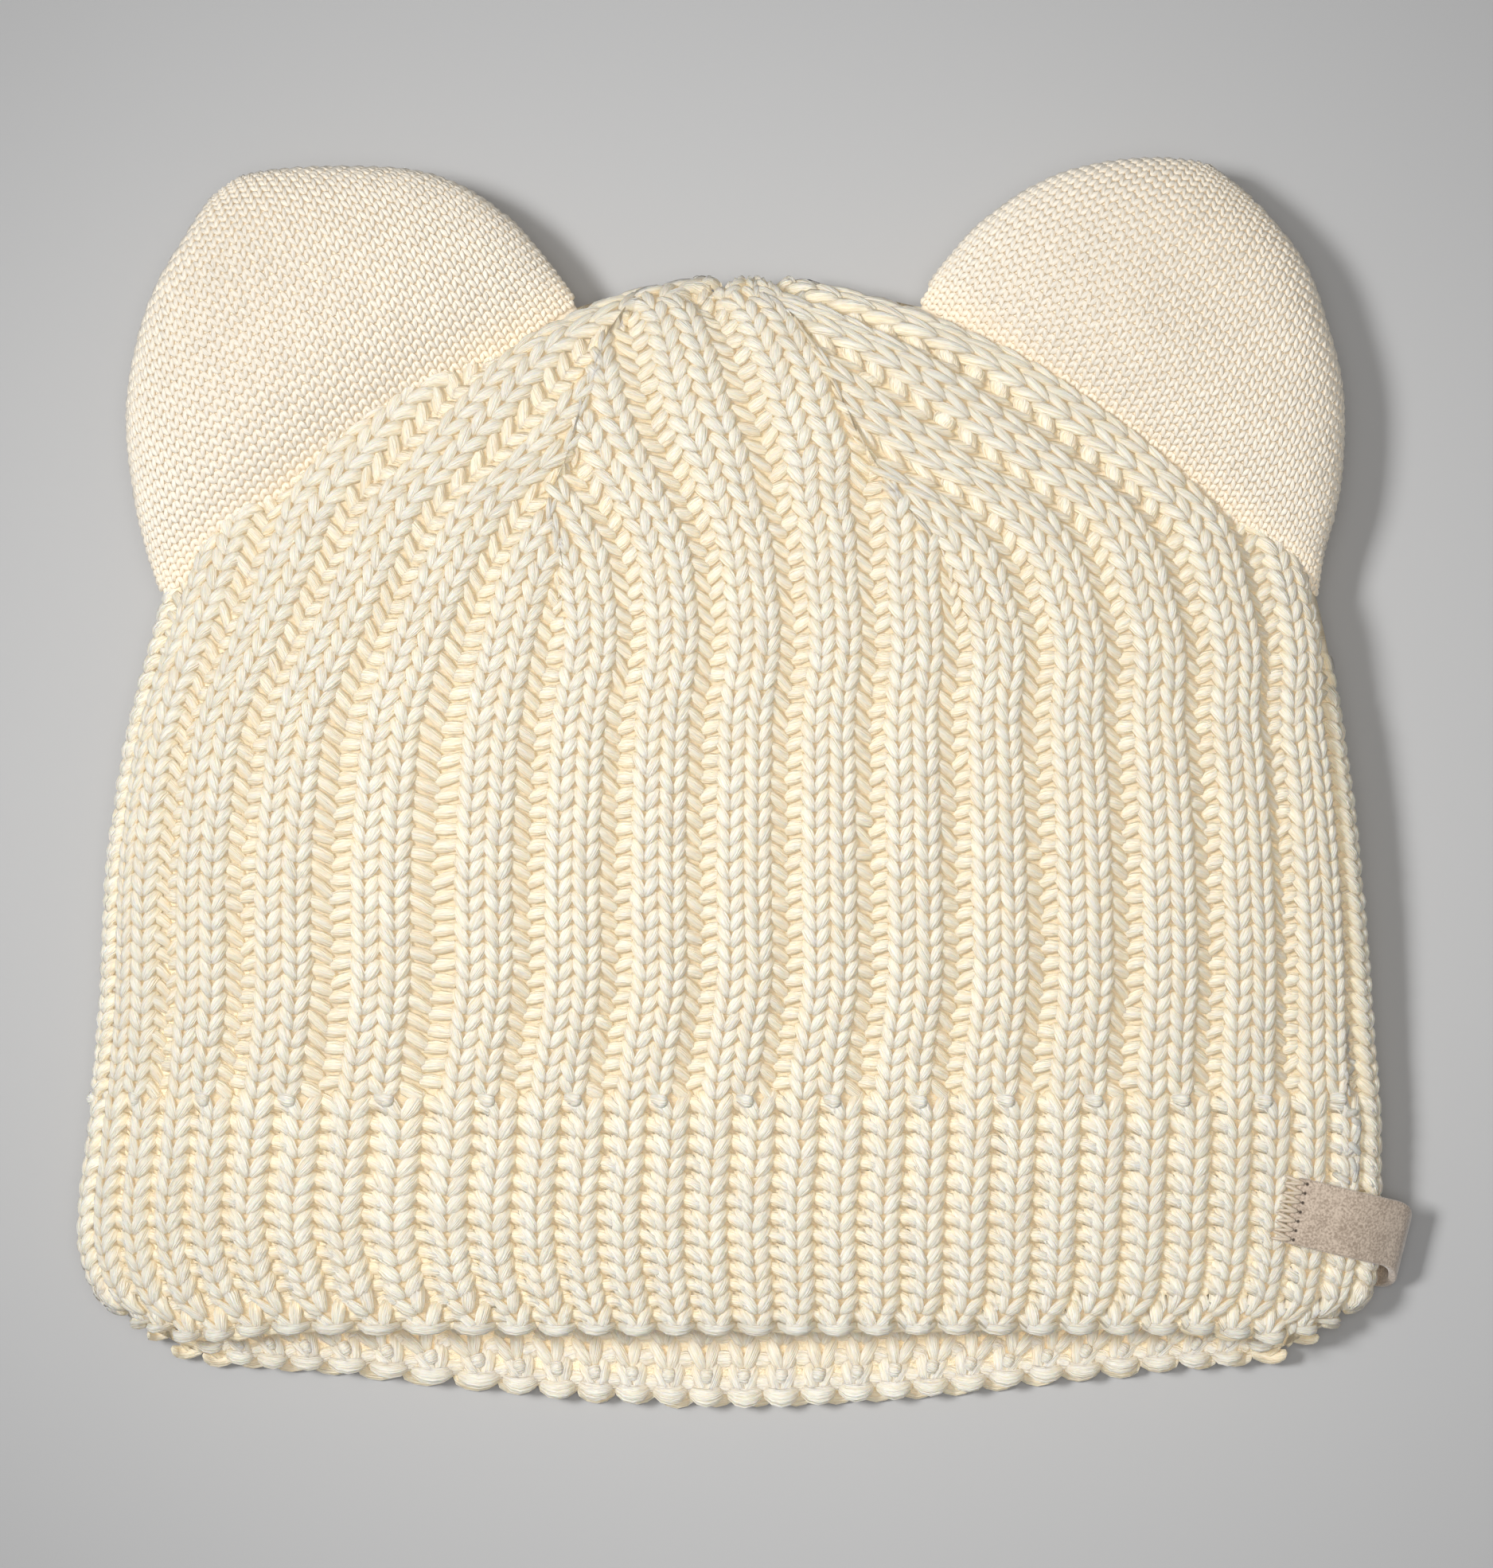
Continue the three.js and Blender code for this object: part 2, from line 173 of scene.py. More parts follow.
def arcShare(column, up):
    at = moved(column, up)
    before = 0.0
    whole = 0.0
    for low, high in panels(up):
        before = before + np.clip(at, low, high) - low
        whole = whole + high - low
    return before / whole


def stillInWork(column, up):
    at = moved(column, up)
    found = np.zeros(np.shape(at), bool)
    for low, high in panels(up):
        found |= (at > low - 0.55) & (at < high + 0.55)
    return found


# Half a rounded section, by share of its length, for every flatness it may have
def roundTable(power, flat):
    ratios = np.linspace(0.0, 0.9, 91)
    shares = np.linspace(0, 1, 401)
    turn = np.linspace(math.pi, 0, 1601)
    across = np.sign(np.cos(turn)) * np.abs(np.cos(turn)) ** (2 / power)
    swell = np.minimum(1, flat * np.abs(np.sin(turn)) ** (2 / power))
    tableX = np.zeros((len(ratios), len(shares)))
    tableZ = np.zeros_like(tableX)
    for i, ratio in enumerate(ratios):
        step = np.hypot(np.diff(across), np.diff(swell) * ratio)
        length = np.concatenate([[0], np.cumsum(step)])
        tableX[i] = np.interp(shares * length[-1], length, across)
        tableZ[i] = np.interp(shares * length[-1], length, swell)
    return ratios, shares, tableX, tableZ


def readTable(table, ratio, share):
    ratios, shares, tableX, tableZ = table
    i = np.clip(ratio / ratios[-1] * (len(ratios) - 1), 0, len(ratios) - 1.001)
    j = np.clip(share, 0, 1) * (len(shares) - 1)
    j = np.minimum(j, len(shares) - 1.001)
    i0 = i.astype(int)
    j0 = j.astype(int)
    fi = i - i0
    fj = j - j0

    def blend(t):
        low = t[i0, j0] * (1 - fj) + t[i0, j0 + 1] * fj
        high = t[i0 + 1, j0] * (1 - fj) + t[i0 + 1, j0 + 1] * fj
        return low * (1 - fi) + high * fi

    return blend(tableX), blend(tableZ)


hatFront = roundTable(hat["frontRound"], 1.0)
hatBack = roundTable(hat["backRound"], hat["backFlat"])


# A point of the hat: share of the arc, side, share of the height, and how deep it lies under the crests
def hatPoint(share, front, height, inset):
    top = 1 - inset / hat["crownHeight"]
    up = height * top
    closing = np.clip((up - hat["closeFrom"]) / (top - hat["closeFrom"]), 0, 1)
    opened = np.sqrt(1 - closing ** 2)
    section = np.maximum(up, hat["cornerUp"])
    left = outline["left"](section) * halfWidth + inset
    right = outline["right"](section) * halfWidth - inset
    thick = outline["thick"](np.maximum(up, 0)) * hat["thickness"]
    fold = hat["foldShare"] * thick
    depth = (thick - fold if front else fold) - inset
    half = (right - left) / 2
    across, swell = readTable(hatFront if front else hatBack, depth * opened / half, share)
    x = (left + right) / 2 + across * half
    z = fold + (1 if front else -1) * depth * swell * opened
    fade = np.maximum(0, 1 - up / brimShare) ** 2
    middle = np.sin(math.pi * np.clip(share, 0, 1))
    plateau = smoothStep(-0.03, hat["rimBlend"], share) * smoothStep(-0.03, hat["rimBlend"], 1 - share)
    shift = hat["frontRimRise"] * plateau if front else -hat["backRimDrop"] * middle ** 2
    fromFold = np.minimum(np.clip(share, 0, 1), 1 - np.clip(share, 0, 1))
    corner = hat["cornerRise"] * (1 - smoothStep(0, hat["cornerWide"], fromFold))
    corner = corner * np.clip(1 - up / hat["cornerHigh"], 0, 1.2) ** 2
    y = -hat["restUp"] + hat["crownHeight"] * up + shift * fade + corner
    return np.stack([x, y, np.maximum(z, floorGap)], axis=-1) * mm


# Rows of stitches: even steps along the middle of the hat, so that they close up round the top fold
rows = {"brim": 13, "crown": 51}
endRow = rows["brim"] + rows["crown"]


def rowHeights():
    low = np.linspace(0, hat["closeFrom"], 400)
    high = hat["closeFrom"] + (1 - hat["closeFrom"]) * np.sin(np.linspace(0, math.pi / 2, 200)[1:])
    up = np.concatenate([low, high])
    path = hatPoint(np.full_like(up, 0.5), True, up, np.zeros_like(up))
    step = np.linalg.norm(np.diff(path, axis=0), axis=1)
    length = np.concatenate([[0], np.cumsum(step)])
    atBrim = np.interp(brimShare, up, length)
    crownRows = (length - atBrim) / (length[-1] - atBrim) * rows["crown"] + rows["brim"]
    brimRows = up / brimShare * rows["brim"]
    return up, np.where(up < brimShare, brimRows, crownRows)


heightSamples, rowSamples = rowHeights()


def heightOfRow(row):
    return np.interp(row, rowSamples, heightSamples) + np.minimum(row, 0) * brimShare / rows["brim"]


# The rib chart, from the left fold to the right: a column's middle, its half width and whether it is knit
def columnsAt(brim):
    made = []
    for repeat in range(-1, sideColumns // ribRepeat + 1):
        centre = ribRepeat * repeat
        if brim:
            made.append((centre - knitWide / 2, brimKnitWide / 2, True))
            made.append((centre + brimPurl["offset"] - knitWide / 2, brimPurl["half"], False))
            made.append((centre + 2 - knitWide / 2, brimKnitWide / 2, True))
            made.append((centre + 2 + brimPurl["offset"] - knitWide / 2, brimPurl["half"], False))
        else:
            made.append((centre - knitWide / 2, knitWide / 2, True))
            made.append((centre + knitWide / 2, knitWide / 2, True))
            made.append((centre + (2 + knitWide) / 2, (2 - knitWide) / 2, False))
            made.append((centre + 3 - knitWide / 2, (2 - knitWide) / 2, False))
    return [c for c in made if 0 < c[0] < sideColumns]


# Depth of the cloth under the crests, across a rib: steep on its right-hand side, gentler on its left
def ribInset(column, row):
    fromPair = (column + 2) % ribRepeat - 2
    steep = smoothStep(1.1, 1.65, fromPair)
    gentle = smoothStep(0.8, 2.0, -fromPair)
    crown = np.maximum(steep, gentle) + 0.16 * smoothStep(0.0, 1.2, np.abs(fromPair))
    fromSingle = (column + knitWide / 2 + 1) % 2 - 1
    sides = np.maximum(smoothStep(0.66, 0.95, fromSingle), smoothStep(0.55, 1.0, -fromSingle))
    brim = 0.9 * sides + 0.2 * smoothStep(0.0, 0.8, np.abs(fromSingle))
    share = smoothStep(rows["brim"] - 0.8, rows["brim"] + 0.8, row)
    return hat["ribDepth"] * np.clip(brim * (1 - share) + crown * share, 0, 1)


# Where a stitch sits: its middle, and its own directions along the rib, across it and out of the cloth
def stitchFrame(column, row, front, inset):
    def at(c, r):
        height = heightOfRow(r)
        share = arcShare(np.clip(c, 0, sideColumns), height)
        return hatPoint(share, front, height, np.full(np.shape(c), inset))

    centre = at(column, row)
    along = at(column, row + 0.5) - at(column, row - 0.5)
    over = at(column + 0.5, row) - at(column - 0.5, row)
    rowLength = np.maximum(np.linalg.norm(along, axis=-1, keepdims=True), 1e-6)
    along = along / rowLength
    over = over - (over * along).sum(axis=-1, keepdims=True) * along
    width = np.maximum(np.linalg.norm(over, axis=-1, keepdims=True), 1e-6)
    over = over / width
    out = np.cross(over, along) * (1 if front else -1)
    return centre, along, over, out, rowLength / mm, width / mm


# A plump little lobe of yarn with blunt ends, made once and repeated
def makeLobe(name, sides, rings):
    bpy.ops.object.select_all(action="DESELECT")
    bpy.ops.mesh.primitive_uv_sphere_add(segments=sides, ring_count=rings, radius=1)
    lobe = bpy.context.object
    lobe.name = name
    mesh = lobe.data
    points = np.array([v.co[:] for v in mesh.vertices])
    points[:, 2] /= np.abs(points[:, 2]).max()
    points[:, :2] *= np.maximum(1e-3, 1 - points[:, 2:3] ** 2) ** -0.22
    faces = [tuple(p.vertices) for p in mesh.polygons]
    uvs = [mesh.uv_layers[0].data[k].uv[:] for p in mesh.polygons for k in p.loop_indices]
    bpy.data.objects.remove(lobe)
    return {"points": points, "faces": faces, "uvs": np.array(uvs)}


legLobe = makeLobe("leg_lobe", 6, 6)
bumpLobe = makeLobe("bump_lobe", 5, 4)
fineLobe = makeLobe("fine_lobe", 5, 4)


# A piece of yarn carries how deep each spot lies, which its material turns into painted shade and painted
# glow, and a tone of its own
def linkPiece(name, mesh, deep, tone, material):
    for label, values in (("deep", deep), ("tone", tone)):
        layer = mesh.attributes.new(label, "FLOAT", "POINT")
        layer.data.foreach_set("value", values)
    piece = bpy.data.objects.new(name, mesh)
    bpy.context.scene.collection.objects.link(piece)
    mesh.materials.append(material)
    return piece


# Copies of a lobe as one mesh: points is (copies, corners, 3)
def meshOfCopies(name, lobe, points, deep, tone, material):
    copies, corners, _ = points.shape
    counts = np.array([len(f) for f in lobe["faces"]])
    flat = np.concatenate([np.array(f) for f in lobe["faces"]])
    loops = (flat[None, :] + (np.arange(copies) * corners)[:, None]).ravel()
    mesh = bpy.data.meshes.new(name)
    mesh.vertices.add(copies * corners)
    mesh.vertices.foreach_set("co", points.ravel())
    mesh.loops.add(len(loops))
    mesh.loops.foreach_set("vertex_index", loops)
    total = np.tile(counts, copies)
    mesh.polygons.add(len(total))
    mesh.polygons.foreach_set("loop_start", np.concatenate([[0], np.cumsum(total)[:-1]]))
    mesh.polygons.foreach_set("loop_total", total)
    mesh.polygons.foreach_set("use_smooth", np.ones(len(total), bool))
    uvLayer = mesh.uv_layers.new(name="yarnUV")
    uvLayer.data.foreach_set("uv", np.tile(lobe["uvs"], (copies, 1)).ravel())
    mesh.update(calc_edges=True)
    mesh.validate()
    return linkPiece(name, mesh, deep.ravel(), np.repeat(tone, corners), material)


def finish(piece, node):
    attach(piece, "root")
    if node:
        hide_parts(node)


# Materials
def newMaterial(name):
    material = bpy.data.materials.new(name)
    material.use_nodes = True
    return material, material.node_tree, material.node_tree.nodes["Principled BSDF"]


# A node with its settings, and with inputs that are links or plain values
def addNode(tree, kind, inputs, **settings):
    node = tree.nodes.new(kind)
    for name, value in settings.items():
        setattr(node, name, value)
    setInputs(tree, node, inputs)
    return node


def setInputs(tree, node, inputs):
    for name, value in inputs.items():
        if isinstance(value, bpy.types.NodeSocket):
            tree.links.new(value, node.inputs[name])
        else:
            node.inputs[name].default_value = value


def addRamp(tree, factor, stops):
    ramp = addNode(tree, "ShaderNodeValToRGB", {"Fac": factor})
    for element, (position, colour) in zip(ramp.color_ramp.elements, stops):
        element.position = position
        element.color = (*colour, 1)
    return ramp.outputs["Color"]


# Fine fibres laid along each loop of yarn, with painted shade and painted glow between the loops, shared by
# every yarn of the hat
def makeFibreGroup():
    group = bpy.data.node_groups.new("yarn fibres", "ShaderNodeTree")
    for label in ("Light", "Deep"):
        group.interface.new_socket(name=label, in_out="INPUT", socket_type="NodeSocketColor")
    for label in ("Around", "Along", "Depth", "Streak"):
        group.interface.new_socket(name=label, in_out="INPUT", socket_type="NodeSocketFloat")
    for label in ("Color", "Painted glow"):
        group.interface.new_socket(name=label, in_out="OUTPUT", socket_type="NodeSocketColor")
    group.interface.new_socket(name="Normal", in_out="OUTPUT", socket_type="NodeSocketVector")
    given = addNode(group, "NodeGroupInput", {}).outputs
    deep = addNode(group, "ShaderNodeAttribute", {}, attribute_name="deep").outputs["Fac"]
    tone = addNode(group, "ShaderNodeAttribute", {}, attribute_name="tone").outputs["Fac"]
    uv = addNode(group, "ShaderNodeUVMap", {}, uv_map="yarnUV").outputs["UV"]
    stretch = addNode(group, "ShaderNodeCombineXYZ", {"X": given["Around"], "Y": given["Along"], "Z": 1.0})
    stretch = stretch.outputs["Vector"]
    spun = addNode(group, "ShaderNodeVectorMath", {0: uv, 1: stretch}, operation="MULTIPLY")
    twist = addNode(group, "ShaderNodeMapping", {"Vector": spun.outputs["Vector"], "Rotation": (0, 0, 0.16)})
    apart = addNode(group, "ShaderNodeVectorMath", {0: (31.0, 17.0, 0.0), "Scale": tone}, operation="SCALE")
    shifted = addNode(group, "ShaderNodeVectorMath",
                      {0: twist.outputs["Vector"], 1: apart.outputs["Vector"]}, operation="ADD")
    strands = addNode(group, "ShaderNodeTexNoise", {
        "Vector": shifted.outputs["Vector"], "Scale": 1.0, "Detail": 3.0, "Roughness": 0.6,
    }).outputs["Fac"]

    # Painted shade: the colour deepens towards the deep colour between the loops. Painted glow: there the
    # same colour is also given out as light, standing in for light that has passed through the yarn
    shadeAndGlowMask = addNode(group, "ShaderNodeMapRange", {"Value": deep, "From Min": 0.04, "From Max": 0.92})
    shadeAndGlowMask = shadeAndGlowMask.outputs["Result"]
    colour = addNode(group, "ShaderNodeMix", {}, data_type="RGBA")
    setInputs(group, colour, {"Factor": shadeAndGlowMask, "A": given["Light"], "B": given["Deep"]})
    paintedGlow = addNode(group, "ShaderNodeMix", {}, data_type="RGBA")
    setInputs(group, paintedGlow, {"Factor": shadeAndGlowMask, "A": (0, 0, 0, 1), "B": given["Deep"]})

    # Streaks along the strands: partly the fibres' own tone, partly painted highlight on the bright strands
    # and painted shade between them
    streakColour = addRamp(group, strands, [(0.36, (0.84, 0.75, 0.60)), (0.56, (1, 1, 1))])
    streak = addNode(group, "ShaderNodeMix", {}, data_type="RGBA", blend_type="MULTIPLY")
    setInputs(group, streak, {"Factor": given["Streak"], "A": colour.outputs["Result"], "B": streakColour})
    spread = addNode(group, "ShaderNodeMapRange", {"Value": tone, "To Min": 0.95, "To Max": 1.02})
    toned = addNode(group, "ShaderNodeHueSaturation",
                    {"Color": streak.outputs["Result"], "Value": spread.outputs["Result"]})
    bump = addNode(group, "ShaderNodeBump", {"Strength": 0.8, "Distance": given["Depth"], "Height": strands})
    addNode(group, "NodeGroupOutput", {
        "Color": toned.outputs["Color"], "Painted glow": paintedGlow.outputs["Result"], "Normal": bump.outputs["Normal"],
    })
    return group


fibreGroup = makeFibreGroup()


# A yarn material: 'light' is the yarn's own colour, 'deep' the colour of painted shade between its loops,
# which it also gives out as painted glow
def makeYarnMaterial(name, yarn):
    material, tree, shader = newMaterial(name)
    fibres = addNode(tree, "ShaderNodeGroup", {}, node_tree=fibreGroup)
    setInputs(tree, fibres, {
        "Light": (*yarn["light"], 1), "Deep": (*yarn["deep"], 1), "Around": yarn["around"],
        "Along": yarn["along"], "Depth": yarn["fibreDepth"], "Streak": yarn["streak"],
    })
    # The emission here is painted glow in the creases, not a lamp
    setInputs(tree, shader, {
        "Base Color": fibres.outputs["Color"], "Normal": fibres.outputs["Normal"], "Roughness": 0.66,
        "Sheen Weight": 0.05, "Sheen Roughness": 0.4,
        "Emission Color": fibres.outputs["Painted glow"], "Emission Strength": 0.2,
        "Subsurface Weight": yarn["soft"], "Subsurface Radius": (1.0, 0.75, 0.45),
        "Subsurface Scale": 0.0012,
    })
    return material


yarnMaterial = makeYarnMaterial("chunky yarn", {
    "light": (0.985, 0.937, 0.83), "deep": (0.94, 0.80, 0.57), "around": 22, "along": 1.3,
    "fibreDepth": 0.0011, "streak": 0.5, "soft": 0.4,
})
jerseyMaterial = makeYarnMaterial("fine jersey yarn", {
    "light": (0.835, 0.79, 0.705), "deep": (0.875, 0.765, 0.6), "around": 10, "along": 1.6,
    "fibreDepth": 0.0002, "streak": 0.3, "soft": 0.0,
})


# Knit stitches: two legs that lean together towards the rim. Lengths in millimetres.
chunky = {
    "lobe": legLobe, "columnMm": 2.95, "rowMm": 2.35, "top": 0.94, "foot": 0.02, "rise": 3.2, "plump": 0.82,
    "thick": 0.80, "lift": -0.54, "arch": 0.42, "tuck": 0.30, "uneven": 0.05,
}
purlLoop = {"radius": 1.08, "thick": 0.88, "reach": 1.5, "lift": -0.72, "arch": 0.32}


# One leg of many stitches, each a little uneven: across the rib, along it and out of the cloth
def legShape(shape, halfMm, side):
    base = shape["lobe"]["points"]
    n = len(halfMm)
    uneven = shape["uneven"]
    along = (base[None, :, 2] + 1) / 2
    rise = shape["rise"] * (1 + rng.normal(0, 0.03, (n, 1)))
    foot = side[:, None] * halfMm[:, None] * shape["foot"]
    top = side[:, None] * halfMm[:, None] * shape["top"]
    slope = np.arctan2(top - foot, rise)
    wide = shape["plump"] * shape["rowMm"] * np.sin(slope) * (1.06 - 0.34 * (1 - along) ** 2)
    x = foot + (top - foot) * along + wide * base[None, :, 0] * np.cos(slope) + rng.normal(0, uneven, (n, 1))
    y = (along - 0.5) * rise - wide * base[None, :, 0] * np.sin(slope) + rng.normal(0, uneven * 1.4, (n, 1))
    arch = shape["arch"] * (1 - (2 * along - 1) ** 2) - shape["tuck"] * along
    lift = shape["lift"] + arch + shape["thick"] * base[None, :, 1] + rng.normal(0, uneven, (n, 1))
    return x, y, lift


# Purl stitches: the loops' heads lie across the valley
def purlShape(halfMm, slant, tilt):
    base = bumpLobe["points"]
    n = len(halfMm)
    along = base[None, :, 2]
    x = along * halfMm[:, None] * purlLoop["reach"] + rng.normal(0, 0.05, (n, 1))
    y = base[None, :, 0] * purlLoop["radius"] + np.tan(slant)[:, None] * x + rng.normal(0, 0.06, (n, 1))
    arch = purlLoop["arch"] * (1 - along ** 2)
    lift = purlLoop["lift"] + arch + tilt * along + purlLoop["thick"] * base[None, :, 1]
    return x, y, lift + rng.normal(0, 0.06, (n, 1))


# Lays shapes on the cloth, and says how deep each spot of them lies between its neighbours, which the
# material paints as shade and glow
def layStitches(column, row, shape, front, inside=False):
    x, y, lift = shape
    depth = hat["knitWall"] if inside else 0.0
    centre, along, over, out, rowLength, width = stitchFrame(column, row, front, depth)
    columnAt = column[:, None] + x / chunky["columnMm"]
    rowAt = row[:, None] + y / chunky["rowMm"]
    if inside:
        sunk = insideSunk(columnAt)
        high = sunk - insideRib["lift"] - lift
    else:
        sunk = ribInset(columnAt, rowAt)
        high = lift - sunk
    x = x * (width / chunky["columnMm"])
    y = y * (rowLength / chunky["rowMm"])
    points = centre[:, None, :] + (over[:, None, :] * x[..., None] + along[:, None, :] * y[..., None]
                                   + out[:, None, :] * high[..., None]) * mm
    points[..., 2] = np.maximum(points[..., 2], floorGap * mm)
    # Painted shade: low parts of each lobe and the rib valleys take more of the deep colour and its painted
    # glow
    deep = np.clip((0.55 - lift) / 1.25, 0, 1) + 0.13 * sunk / hat["ribDepth"]
    return points, np.clip(deep, 0, 1)


def joined(parts):
    return np.concatenate([part[0] for part in parts]), np.concatenate([part[1] for part in parts])


def stitchList(firstRow, lastRow):
    knit = []
    purl = []
    for row in range(firstRow, lastRow):
        for column, half, isKnit in columnsAt(row < rows["brim"]):
            if stillInWork(np.array(column), heightOfRow(row + 0.5)):
                (knit if isKnit else purl).append((column, half, row + 0.5))
    return np.array(knit, float), np.array(purl, float)


def knitPanel(name, firstRow, lastRow, front):
    knit, purl = stitchList(firstRow, lastRow)
    parts = []
    for side in (-1.0, 1.0):
        shape = legShape(chunky, knit[:, 1] * chunky["columnMm"], np.full(len(knit), side))
        parts.append(layStitches(knit[:, 0], knit[:, 2], shape, front))
    points, deep = joined(parts)
    legs = meshOfCopies(name + "_knit", legLobe, points, deep, rng.random(len(points)), yarnMaterial)
    finish(legs, "knit_body")

    # The purl columns of the brim all lean one way, and the two of a double rib lean apart
    if firstRow < rows["brim"]:
        stagger = 0.0
        slant = -0.3
        tilt = 0.45
    else:
        secondColumn = (purl[:, 0] % ribRepeat) > 2
        stagger = np.where(secondColumn, 0.25, -0.25)
        slant = np.where(secondColumn, 0.3, -0.55)
        tilt = 0.0
    slant = slant + rng.normal(0, 0.12, len(purl))
    shape = purlShape(purl[:, 1] * chunky["columnMm"], slant, tilt)
    points, deep = layStitches(purl[:, 0], purl[:, 2] + stagger, shape, front)
    bumps = meshOfCopies(name + "_purl", bumpLobe, points, deep, rng.random(len(points)), yarnMaterial)
    finish(bumps, None)
    print(name, "stitches", len(knit), len(purl))


knitPanel("brim_front", 0, rows["brim"], True)
knitPanel("brim_back", 0, rows["brim"], False)
knitPanel("crown_front", rows["brim"], endRow, True)
knitPanel("crown_back", rows["brim"], endRow, False)


# Lobes that lie across: the cast-on edge, and the knots where a double rib becomes a single one
crossLoop = {"halfMm": 3.05, "radius": 1.0, "thick": 1.0, "sag": 0.65, "row": -0.18, "lift": -0.15}
knot = {"halfMm": 1.3, "radius": 0.95, "row": rows["brim"] - 0.15, "lift": 0.3}


def crossShape(count, halfMm, radius, lift, sag=0.0):
    base = legLobe["points"]
    along = base[None, :, 2]
    x = along * halfMm + rng.normal(0, 0.06, (count, 1))
    y = base[None, :, 0] * radius + sag * along ** 2 + rng.normal(0, 0.06, (count, 1))
    high = lift - 0.35 * along ** 2 + crossLoop["thick"] * base[None, :, 1] + rng.normal(0, 0.04, (count, 1))
    return x, y, high


def edgeLoops(front):
    centres = np.array([c[0] for c in columnsAt(True) if c[2]])
    loop = crossLoop
    shape = crossShape(len(centres), loop["halfMm"], loop["radius"], loop["lift"], loop["sag"])
    parts = [layStitches(centres, np.full(len(centres), loop["row"]), shape, front)]
    knots = np.arange(0, sideColumns // ribRepeat) * ribRepeat + knitWide / 2
    shape = crossShape(len(knots), knot["halfMm"], knot["radius"], knot["lift"])
    parts.append(layStitches(knots, np.full(len(knots), knot["row"]), shape, front))
    points, deep = joined(parts)
    name = "edge_loops_" + ("front" if front else "back")
    # These lobes take less painted shade and painted glow: their depth is scaled by 0.7
    loops = meshOfCopies(name, legLobe, points, deep * 0.7, rng.random(len(points)), yarnMaterial)
    finish(loops, None)


edgeLoops(True)
edgeLoops(False)


# Where the knitting was joined into a tube: a short untidy seam by the right-hand fold
seam = {
    "count": 16, "column": 61.6, "fromRow": 8.6, "toRow": 16.4, "radius": 0.52, "thick": 0.5, "lift": 0.15,
}


def sideSeam():
    count = seam["count"]
    column = seam["column"] + rng.normal(0, 0.28, count)
    row = np.linspace(seam["fromRow"], seam["toRow"], count) + rng.normal(0, 0.15, count)
    base = legLobe["points"]
    turn = rng.uniform(-0.7, 0.7, (count, 1)) + np.where(np.arange(count) % 2, 0.6, -0.5)[:, None]
    length = rng.uniform(1.0, 1.5, (count, 1))
    across = base[None, :, 0] * seam["radius"]
    along = base[None, :, 2] * length
    x = along * np.cos(turn) - across * np.sin(turn)
    y = along * np.sin(turn) + across * np.cos(turn)
    lift = seam["lift"] + seam["thick"] * base[None, :, 1] + rng.normal(0, 0.12, (count, 1))
    points, deep = layStitches(column, row, (x, y, lift), True)
    # The seam's lobes take half the painted shade and painted glow
    loops = meshOfCopies("side_seam", legLobe, points, deep * 0.5, rng.random(count), yarnMaterial)
    finish(loops, None)


sideSeam()
print("edges and side seam done")


# Inside of the brim: the ribs show there the other way round, with loops across the gaps between them
insideRib = {"lift": 0.35, "deep": 0.9, "shift": -0.6, "halfMm": 2.5, "edgeRow": -0.1, "edgeLift": -0.1}
insideGap = {"halfMm": 1.4, "radius": 0.95, "lift": -0.5}
insideKnot = {"halfMm": 1.2, "radius": 0.8, "lift": 0.0, "row": 0.75}


def insideSunk(column):
    fromKnit = np.abs((column + knitWide / 2 - insideRib["shift"] + 1) % 2 - 1)
    return insideRib["deep"] * smoothStep(0.5, 1.0, fromKnit)


def insideBrim(front, lastRow):
    centres = np.arange(0, sideColumns // 2 + 1) * 2 - knitWide / 2 + insideRib["shift"]
    centres = centres[(centres > 0.5) & (centres < sideColumns - 0.5)]
    column, row = [v.ravel() for v in np.meshgrid(centres, np.arange(0, lastRow) + 0.6)]
    parts = []
    for side in (-1.0, 1.0):
        shape = legShape(chunky, np.full(len(column), insideRib["halfMm"]), np.full(len(column), side))
        parts.append(layStitches(column, row, shape, front, True))
    loop = crossLoop
    edge = crossShape(len(centres), loop["halfMm"], loop["radius"], insideRib["edgeLift"], loop["sag"])
    parts.append(layStitches(centres, np.full(len(centres), insideRib["edgeRow"]), edge, front, True))
    column, row = [v.ravel() for v in np.meshgrid(centres[:-1] + 1, np.arange(0, lastRow) + 0.4)]
    gaps = crossShape(len(column), insideGap["halfMm"], insideGap["radius"], insideGap["lift"])
    parts.append(layStitches(column, row, gaps, front, True))
    knots = crossShape(len(centres), insideKnot["halfMm"], insideKnot["radius"], insideKnot["lift"])
    parts.append(layStitches(centres, np.full(len(centres), insideKnot["row"]), knots, front, True))
    points, deep = joined(parts)
    name = "inside_brim_" + ("front" if front else "back")
    finish(meshOfCopies(name, legLobe, points, deep, rng.random(len(points)), yarnMaterial), None)


insideBrim(True, 5)
insideBrim(False, 7)
print("inside of the brim done")


